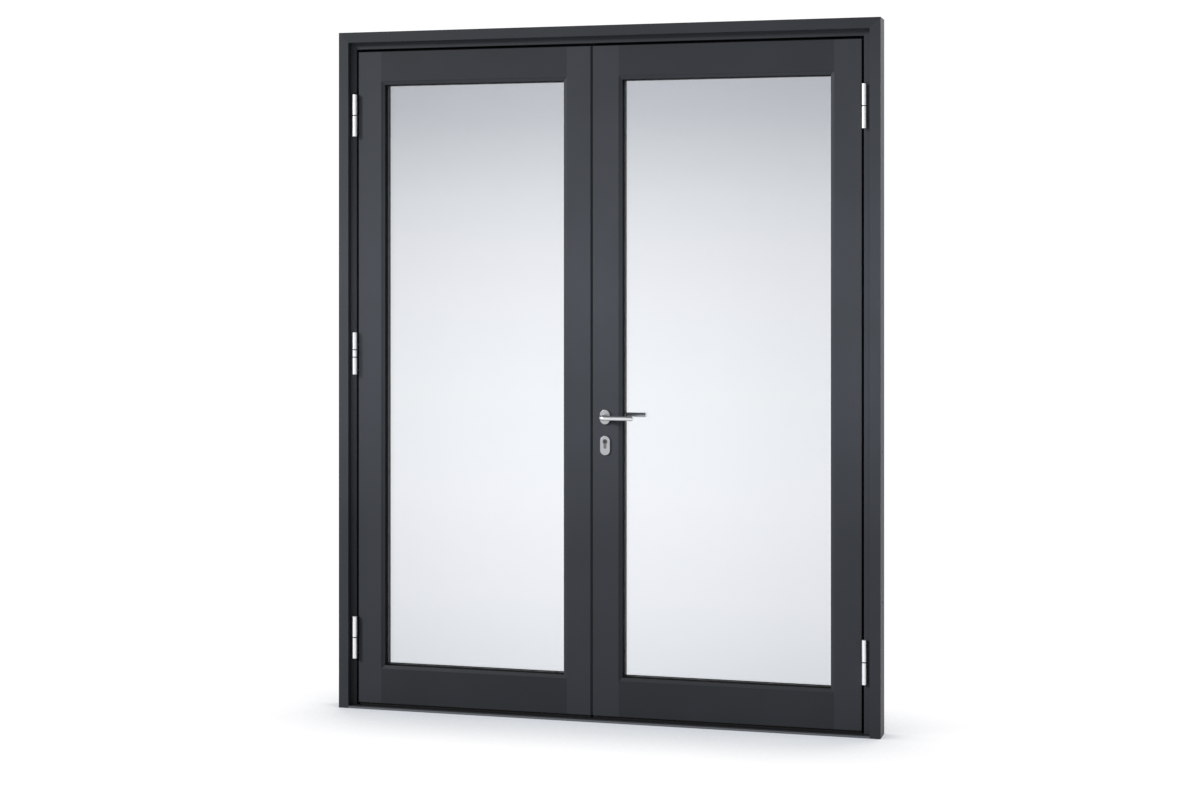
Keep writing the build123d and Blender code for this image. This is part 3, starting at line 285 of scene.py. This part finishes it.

# %% [markdown]
# ## Plated, anodised and extruded metal
#
# Screws, pins, bolts and the lock case are steel under a thin coat of zinc, and the keep plate in the head
# has its zinc blackened. The cylinder is brass plated with nickel; its core is the same metal given a darker
# copy, which paints the shade of the keyway. The threshold is anodised grey, and the cleats and spigots
# inside the corners stay as they came out of the die. All are metals with fine lines, from turning, rolling
# or the die, so they need no function of their own: the one for ground steel makes them, each with its own
# colour and roughness.

# %% The other metals
black_zinc = ground_steel("black_zinc_plate", "#1c1c1e", 0.44, ALONG_X)[0]
zinc_steel = ground_steel("zinc_plated_steel", "#bcbdbf", 0.38, ALONG_Z)[0]
nickel_brass = ground_steel("nickel_plated_brass", "#7c7b7a", 0.24, ALONG_Y)[0]
# The darker core is painted shade of the keyway, on the same plated brass.
shaded_nickel_core = ground_steel("nickel_plated_brass_core_painted_shade", "#5a595a", 0.30, ALONG_Y)[0]
mill_aluminium = ground_steel("aluminium_as_extruded", "#c6c8ca", 0.42, ALONG_X)[0]
threshold_metal = ground_steel("grey_anodised_threshold", "#6e7074", 0.42, ALONG_X)[0]
print("metals ready")

# %% [markdown]
# ## Hinges: a bright barrel on flaps in painted shade
#
# A hinge barrel is turned from stainless steel and left bare, so it shines. The flaps that reach into the
# gap are coated with the door, but here they are painted near black, darker than that coat: painted shade of
# the gap, where they all but vanish. Barrel and flap are one CAD piece, which could carry a material for
# each of its faces, but a rule in the shader leaves the piece alone. A point belongs to the barrel if it
# lies within the barrel's radius of the hinge axis, so the distance from that axis, worked out in the
# piece's own coordinates, chooses the colour. The hinges at the left mirror those at the right, so the
# absolute value of the coordinates serves both sides with one material.
#
# The axis is read from the hinge pins, which turn about it, and the radius from the outermost point of
# the knuckles. A tenth of a millimetre of play keeps the faceted barrel clear of the limit.

# %% Hinge barrel and flaps
PLAY_MM = 0.1
pins_low, pins_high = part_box("hinge_pins")
axis_x = pins_high[0] - (pins_high[1] - pins_low[1]) / 2
axis_y = (pins_high[1] + pins_low[1]) / 2
barrel_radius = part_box("active_hinge_frame_knuckles")[1][0] - axis_x + PLAY_MM * MM

hinge_steel, hinge_shader, hinge_tone = ground_steel("satin_stainless_hinge", "#eeeff1", 0.44, ALONG_Z)
hinge_place = node(hinge_steel, "ShaderNodeTexCoord")
flat_place = node(
    hinge_steel, "ShaderNodeVectorMath", {0: (hinge_place, "Object"), 1: (1, 1, 0)}, operation="MULTIPLY",
)
one_side = node(hinge_steel, "ShaderNodeVectorMath", {0: (flat_place, "Vector")}, operation="ABSOLUTE")
from_axis = node(
    hinge_steel, "ShaderNodeVectorMath",
    {0: (one_side, "Vector"), 1: (abs(axis_x), abs(axis_y), 0)},
    operation="DISTANCE",
)
on_flap = node(
    hinge_steel, "ShaderNodeMath", {0: (from_axis, "Value"), 1: barrel_radius}, operation="GREATER_THAN",
)
# Past the barrel's radius the colour is near black, darker than the door's coat: painted shade of the gap.
steel_or_shaded_flap = node(
    hinge_steel, "ShaderNodeMix",
    {
        MIX_SHARE: (on_flap, "Value"),
        FIRST_COLOUR: (hinge_tone, "Color"), SECOND_COLOUR: linear("#101112"),
    },
    data_type="RGBA",
)
link(hinge_steel, steel_or_shaded_flap, MIXED_COLOUR, hinge_shader, "Base Color")
print("hinge axis", round(axis_x, 4), round(axis_y, 4), "barrel radius", round(barrel_radius, 4))

# %% [markdown]
# ## Rubber, plastic and brush
#
# The seals are black synthetic rubber, extruded, with a dusty matt skin. The bushes, blocks, spacers and
# socket are moulded black polyamide, a little glossier, and the pile of the bottom brushes is black fibre,
# the dullest of the three. All are dielectrics with the usual IOR of a polymer. One flat black could do
# for all of them, but it would look like a hole in the picture. A soft noise on the colour stands for the
# bloom that rubber gets with age, and the same noise dents the surface a little.

# %% Black rubber and moulded plastic
POLYMER_IOR = 1.52
DENT_STRENGTH = 0.2
DENT_MM = 0.1


def black_moulding(name, dark, light, rough, grain_mm):
    """A black dielectric with a faint mottle and a fine grain."""
    material, shader = new_material(name, Roughness=rough, IOR=POLYMER_IOR)
    place = node(material, "ShaderNodeTexCoord")
    grain = node(
        material, "ShaderNodeTexNoise",
        {"Vector": (place, "Object"), "Scale": per_mm(grain_mm), "Detail": 4.0},
    )
    tone = node(
        material, "ShaderNodeValToRGB", {"Fac": (grain, "Fac")},
        [(0.0, linear(dark)), (1.0, linear(light))],
    )
    link(material, tone, "Color", shader, "Base Color")
    dents = node(
        material, "ShaderNodeBump",
        {"Height": (grain, "Fac"), "Strength": DENT_STRENGTH, "Distance": DENT_MM * MM},
    )
    link(material, dents, "Normal", shader, "Normal")
    return material


seal_rubber = black_moulding("black_synthetic_rubber", "#070708", "#101011", rough=0.72, grain_mm=4)
moulded_plastic = black_moulding("black_moulded_polyamide", "#0c0c0d", "#161617", rough=0.42, grain_mm=2)
brush_pile = black_moulding("black_brush_pile", "#08080a", "#1a1a1c", rough=0.9, grain_mm=1)
print("black parts ready")

# %% [markdown]
# ## Float glass: the tint and its painted shade
#
# Float glass is made by floating molten glass on tin, so both faces are flat and clear. The glass is given a
# cool grey. Its grading, clearest round the middle of the door and deeper towards the top and the outer
# stiles, is painted shade: the darkening of the backdrop seen through the glass, put into the glass itself.
# A backdrop with that shading could stand behind the door, but then the glass would change with every step
# of the camera. Two ramps in the glass give it instead: one over the height and one over the distance from
# the line where the leaves meet.
#
# The hex values are what the eye sees of the whole unit: what comes through it, and what its faces mirror
# of the bright studio in front. That mirrored share is taken off first. A ray meets four faces on its
# way, so each face has the fourth root of what is left, raised a little to make up for the light that its
# mirror turns away.

# %% The tint of the glass
FACES_CROSSED = 4
STRAIGHT_ON = 0.043
MIRROR_SHARE = 0.165
LEAST_SHARE = 0.01
# Both ramps hold painted shade: the glass is darker towards the top and towards the outer stiles.
tint_and_shade_by_height = [
    (0.15, "#e0e3e7"), (0.42, "#e9ebef"), (0.77, "#eff1f5"), (1.12, "#f0f3f6"), (1.46, "#ebedf1"),
    (1.64, "#e6e8ec"), (1.81, "#dee1e5"), (1.98, "#d2d5d9"), (2.09, "#c9ccd1"), (2.21, "#c3c6cb"),
]
shade_by_side = [(0.0, 1.0), (0.24, 0.995), (0.53, 0.965), (0.82, 0.92), (1.0, 0.9)]
tint_low = tint_and_shade_by_height[0][0]
tint_high = tint_and_shade_by_height[-1][0]


def per_face(share):
    """What one face lets through, where the whole unit shows that share of the light behind it."""
    wanted = max(share - MIRROR_SHARE, LEAST_SHARE)
    return min(1.0, wanted ** (1 / FACES_CROSSED) / (1 - STRAIGHT_ON))


height_stops = [
    ((height - tint_low) / (tint_high - tint_low), (*[per_face(c) for c in linear(tint)[:3]], 1.0))
    for height, tint in tint_and_shade_by_height
]
side_stops = [(place, (*[share ** (1 / FACES_CROSSED)] * 3, 1.0)) for place, share in shade_by_side]
clearest = max(colour[0] for place, colour in height_stops)
print("one face lets", round(clearest, 3), "of the light through, where the glass is clearest")

# %% [markdown]
# ## Float glass: where the tint and its painted shade lie
#
# The door's coordinates place the tint and its painted shade. The height and the distance from the meeting
# line become shares from 0 to 1, each share looks up its ramp, and the two results are multiplied.

# %% Tint over the height and to the sides
MEETING_X = -0.05
WIDEST = 0.85

float_glass = bpy.data.materials.new("clear_float_glass")
float_glass.use_nodes = True
glass_place = node(float_glass, "ShaderNodeTexCoord")
glass_axes = node(float_glass, "ShaderNodeSeparateXYZ", {"Vector": (glass_place, "Object")})
height_share = node(
    float_glass, "ShaderNodeMapRange",
    {"Value": (glass_axes, "Z"), "From Min": tint_low, "From Max": tint_high},
)
from_middle = node(float_glass, "ShaderNodeMath", {0: (glass_axes, "X"), 1: MEETING_X}, operation="SUBTRACT")
one_way = node(float_glass, "ShaderNodeMath", {0: (from_middle, "Value")}, operation="ABSOLUTE")
side_share = node(float_glass, "ShaderNodeMath", {0: (one_way, "Value"), 1: WIDEST}, operation="DIVIDE")
height_tint_and_shade = node(float_glass, "ShaderNodeValToRGB", {"Fac": (height_share, "Result")}, height_stops)
side_shade = node(float_glass, "ShaderNodeValToRGB", {"Fac": (side_share, "Value")}, side_stops)
face_tint_and_shade = node(
    float_glass, "ShaderNodeVectorMath",
    {0: (height_tint_and_shade, "Color"), 1: (side_shade, "Color")}, operation="MULTIPLY",
)
print("tint from", tint_low, "to", tint_high, "m over the floor")

# %% [markdown]
# ## Float glass: a clear face and its mirror
#
# Glass has an IOR of 1.52. Real refraction through thin, parallel panes moves next to nothing, but costs
# many light bounces and throws noisy shadows. So each face mixes a tinted transparency with a mirror. A
# face of glass mirrors 4.3 percent of what meets it straight on, and all of it at a glancing angle, along
# a fifth power. The Fresnel node would follow that curve at the first face only: from inside the glass,
# it expects a ray that has been bent. The Facing value of a Layer Weight node is the same at both faces:
# with its Blend at one half, it grows from 0 straight on to 1 at a glancing angle, and the power is worked
# out from that. The rollers that carry hot glass leave a long and very shallow wave, which a weak bump
# gives to the mirror.

# %% Clear float glass
WAVE_MM = 600
WAVE_DEPTH_MM = 1
WAVE_STRENGTH = 0.02
GLANCE_POWER = 5.0
MIRROR_ROUGH = 0.02

waviness = node(
    float_glass, "ShaderNodeTexNoise",
    {"Vector": (glass_place, "Object"), "Scale": per_mm(WAVE_MM), "Detail": 1.0},
)
roller_wave = node(
    float_glass, "ShaderNodeBump",
    {"Height": (waviness, "Fac"), "Strength": WAVE_STRENGTH, "Distance": WAVE_DEPTH_MM * MM},
)
slant = node(
    float_glass, "ShaderNodeLayerWeight", {"Blend": 0.5, "Normal": (roller_wave, "Normal")},
)
steep = node(float_glass, "ShaderNodeMath", {0: (slant, "Facing"), 1: GLANCE_POWER}, operation="POWER")
edge_gloss = node(
    float_glass, "ShaderNodeMapRange", {"Value": (steep, "Value"), "To Min": STRAIGHT_ON, "To Max": 1.0},
)
clear = node(float_glass, "ShaderNodeBsdfTransparent", {"Color": (face_tint_and_shade, "Vector")})
mirror = node(
    float_glass, "ShaderNodeBsdfGlossy",
    {"Color": linear("#ffffff"), "Roughness": MIRROR_ROUGH, "Normal": (roller_wave, "Normal")},
)
glass_mix = node(
    float_glass, "ShaderNodeMixShader", {0: (edge_gloss, "Result"), 1: (clear, "BSDF"), 2: (mirror, "BSDF")},
)
glass_nodes = float_glass.node_tree.nodes
glass_nodes.remove(glass_nodes["Principled BSDF"])
link(float_glass, glass_mix, "Shader", glass_nodes["Material Output"], "Surface")
print("glass of", len(glass_nodes), "nodes")

# %% [markdown]
# ## Which piece gets which finish
#
# The finishes could be given out by hand, one piece at a time, but the names of the CAD pieces already
# say what they are, so the finish is chosen from the name. The first rule that fits wins, and a piece
# that no rule knows stops the script, so nothing can stay plain by mistake.

# %% Give every piece its finish
finish_rules = [
    ("glass_panes", float_glass),
    ("bottom_brush", brush_pile),
    ("seal", seal_rubber),
    ("bushes", moulded_plastic),
    ("setting_blocks", moulded_plastic),
    ("threshold_socket", moulded_plastic),
    ("threshold", threshold_metal),
    ("hinge_frame_knuckles", hinge_steel),
    ("hinge_leaf_knuckles", hinge_steel),
    ("hinge_pins", zinc_steel),
    ("glazing_beads", bead_coat),
    ("_stile", stile_coat),
    ("_rail", shaded_rail_coat),
    ("jamb", frame_coat),
    ("spacer", moulded_plastic),
    ("cleats", mill_aluminium),
    ("spigots", mill_aluminium),
    ("screws", zinc_steel),
    ("lever_spindle", zinc_steel),
    ("lever_roses", rose_steel),
    ("escutcheons", rose_steel),
    ("lever_front", lever_steel),
    ("lever_back", lever_steel),
    ("cylinder_body", nickel_brass),
    ("cylinder_core", shaded_nickel_core),
    ("head_keep_plate", black_zinc),
    ("strike_plate", plate_steel),
    ("faceplate", plate_steel),
    ("flush_bolt_cases", plate_steel),
    ("flush_bolt", zinc_steel),
    ("lock_case", zinc_steel),
    ("lock_follower", zinc_steel),
    ("latch", zinc_steel),
    ("deadbolt", zinc_steel),
    ("head", shaded_head_coat),
]
for name, piece in nodes.items():
    material = next(finish for word, finish in finish_rules if word in name)
    piece.data.materials.clear()
    piece.data.materials.append(material)
print("finished", len(nodes), "pieces")

# %% [markdown]
# ## Floor and backdrop
#
# The photograph has a white studio with no line between floor and backdrop. A flat floor with a far wall
# would show such a line in the glass. A round cove has none: a floor that curves up into a wall all the
# way round. One profile, turned about the middle, makes it, and the door has white behind it from every
# side. The corners of a face go round it so that its front looks inward and up, because the soft shadow of
# the next step is measured on that side.

# %% The shape of the cove
FLOOR_RADIUS = 14.0
BEND = 6.0
WALL_TOP = 12.0
BEND_STEPS = 24
ROUND_STEPS = 96

profile = [(FLOOR_RADIUS, 0.0)]
for step in range(1, BEND_STEPS + 1):
    angle = math.pi / 2 * step / BEND_STEPS
    profile.append((FLOOR_RADIUS + BEND * math.sin(angle), BEND - BEND * math.cos(angle)))
profile.append((FLOOR_RADIUS + BEND, WALL_TOP))
turns = [2 * math.pi * step / ROUND_STEPS for step in range(ROUND_STEPS)]
corners = [(r * math.cos(turn), r * math.sin(turn), z) for r, z in profile for turn in turns]
faces = [tuple(range(ROUND_STEPS))]
for ring in range(len(profile) - 1):
    for step in range(ROUND_STEPS):
        low = ring * ROUND_STEPS + step
        next_low = ring * ROUND_STEPS + (step + 1) % ROUND_STEPS
        faces.append((low, low + ROUND_STEPS, next_low + ROUND_STEPS, next_low))
cove_mesh = bpy.data.meshes.new("lit_cove")
cove_mesh.from_pydata(corners, [], faces)
cove_mesh.shade_smooth()
cove = bpy.data.objects.new("lit_cove", cove_mesh)
bpy.context.scene.collection.objects.link(cove)
print("cove of", len(faces), "faces")

# %% [markdown]
# ## The light of the cove
#
# The cove is of milky translucent plastic lit from behind, so its white is its own light. Lamps alone
# could light a white floor, but each would draw a shadow on it. This plastic is grey in itself and gives
# back little of the light that falls on it, so no lamp draws a second shadow behind the door. The light
# of the cove is kept from the matt surfaces, because so much of it from all sides would wash the shadows
# out, but glass and steel still mirror it. High up it fades, which gives the steel something dark to
# mirror too.
#
# The soft shadow at the foot of the door comes from an ambient occlusion node: it measures how much of
# the view over each point of the floor is open within 0.6 m, and the light of the floor is dimmed, down
# to a cool grey, where half of it or less is open.

# %% Translucent plastic, lit from behind
ACRYLIC_ROUGH = 0.8
CLOUD_MM = 900
BACKLIGHT = 1.02
FOOT_SHADE_MM = 600
DIMMEST_AT = 0.5
FADE_FROM_Z = 5.5
FADE_TO_Z = 9.0
FADED = 0.1

acrylic, acrylic_shader = new_material(
    "white_translucent_acrylic",
    Roughness=ACRYLIC_ROUGH, Specular_IOR_Level=0.0, Emission_Strength=BACKLIGHT,
)
cove_place = node(acrylic, "ShaderNodeTexCoord")
clouding = node(acrylic, "ShaderNodeTexNoise", {"Vector": (cove_place, "Object"), "Scale": per_mm(CLOUD_MM)})
milk = node(
    acrylic, "ShaderNodeValToRGB", {"Fac": (clouding, "Fac")},
    [(0.0, linear("#464646")), (1.0, linear("#4a4a4a"))],
)
link(acrylic, milk, "Color", acrylic_shader, "Base Color")
foot_shade = node(acrylic, "ShaderNodeAmbientOcclusion", {"Distance": FOOT_SHADE_MM * MM}, samples=4)
foot_tone = node(
    acrylic, "ShaderNodeValToRGB", {"Fac": (foot_shade, "AO")},
    [(DIMMEST_AT, linear("#b2b7bf")), (1.0, linear("#ffffff"))],
)
cove_axes = node(acrylic, "ShaderNodeSeparateXYZ", {"Vector": (cove_place, "Object")})
lit_share = node(
    acrylic, "ShaderNodeMapRange",
    {
        "Value": (cove_axes, "Z"), "From Min": FADE_FROM_Z, "From Max": FADE_TO_Z,
        "To Min": 1.0, "To Max": FADED,
    },
)
cove_light = node(
    acrylic, "ShaderNodeVectorMath", {0: (foot_tone, "Color"), 1: (lit_share, "Result")},
    operation="MULTIPLY",
)
link(acrylic, cove_light, "Vector", acrylic_shader, "Emission Color")
cove_mesh.materials.append(acrylic)
cove.visible_diffuse = False
cove.visible_shadow = False
print("cove lit up to", FADE_FROM_Z, "m and faded at", FADE_TO_Z, "m")

# %% [markdown]
# ## Light
#
# The cove already makes the white of the picture, so the lamps only have to draw the door. One large soft
# box, far off at the left and well above, is the key. Close by, it would light one leaf more than the
# other; far off, it lights both almost alike. From the side, it draws the bright line down each hinge
# barrel and throws the short dark shadows to the lower right. A weak strip in front, at shoulder height,
# lifts the middle of the bars, and is hidden from mirrors. A weaker box behind the door shows its back to
# a camera that goes there. The sky of the scene is a dim even white, the little light that reaches into
# the gaps. The picture is shown with the Standard view, which keeps a white of 1 as paper white instead
# of holding it back as a film would.

# %% Sky and soft boxes
SKY_STRENGTH = 0.14
DOOR_MIDDLE = (0, 0, 1.2)
BOX_SIDE = 4.0
KEY_PLACE = (-13.0, -11.0, 8.6)
KEY_WATTS = 2780
BACK_PLACE = (9.0, 12.0, 7.5)
BACK_WATTS = 900
STRIP_PLACE = (0.2, -1.6, 1.45)
STRIP_TARGET = (0.2, 0, 1.45)
STRIP_WIDTH = 4.0
STRIP_HEIGHT = 0.3
STRIP_WATTS = 12.5
STRIP_SPREAD = 95

bpy.context.scene.view_settings.view_transform = "Standard"
world = bpy.data.worlds.new("studio")
bpy.context.scene.world = world
world.use_nodes = True
world.node_tree.nodes["Background"].inputs["Color"].default_value = linear("#ffffff")
world.node_tree.nodes["Background"].inputs["Strength"].default_value = SKY_STRENGTH


def soft_box(name, place, target, width, height, watts):
    """A flat lamp that looks at a point."""
    lamp = bpy.data.lights.new(name, "AREA")
    lamp.shape = "RECTANGLE"
    lamp.size = width
    lamp.size_y = height
    lamp.energy = watts
    holder = bpy.data.objects.new(name, lamp)
    bpy.context.scene.collection.objects.link(holder)
    holder.location = place
    holder.rotation_euler = (Vector(target) - Vector(place)).to_track_quat("-Z", "Y").to_euler()
    return holder


soft_box("key_soft_box", KEY_PLACE, DOOR_MIDDLE, BOX_SIDE, BOX_SIDE, KEY_WATTS)
soft_box("back_soft_box", BACK_PLACE, DOOR_MIDDLE, BOX_SIDE, BOX_SIDE, BACK_WATTS)
strip = soft_box("front_strip", STRIP_PLACE, STRIP_TARGET, STRIP_WIDTH, STRIP_HEIGHT, STRIP_WATTS)
strip.data.spread = math.radians(STRIP_SPREAD)
strip.visible_glossy = False
print("key", round(Vector(KEY_PLACE).length, 1), "m away")

# %% [markdown]
# ## Camera
#
# The upright edges of the door are upright in the photograph too, so the camera stood level, at about eye
# height, and the frame was moved down instead of tilting the camera: that is a lens shift. The camera
# could be placed by eye, but a solved one lets edge after edge be compared. The place, the angle to the
# door and the shift were solved from the corners of the door's frame.

# %% The photographer's place
CAMERA_PLACE = (1.968, -7.2085, 1.5905)
CAMERA_TURN = 15.37
LENS_SHIFT = -0.1163
FOCAL_PIXELS = 2160
PHOTO_WIDTH = 1200
SENSOR_MM = 36
SIGHT_END = 60

camera_data = bpy.data.cameras.new("camera")
camera_data.sensor_width = SENSOR_MM
camera_data.lens = FOCAL_PIXELS * SENSOR_MM / PHOTO_WIDTH
camera_data.shift_y = LENS_SHIFT
camera_data.clip_end = SIGHT_END
camera = bpy.data.objects.new("camera", camera_data)
bpy.context.scene.collection.objects.link(camera)
camera.location = CAMERA_PLACE
camera.rotation_euler = (math.radians(90), 0, math.radians(CAMERA_TURN))
bpy.context.scene.camera = camera
print("camera lens", round(camera_data.lens, 1), "mm")
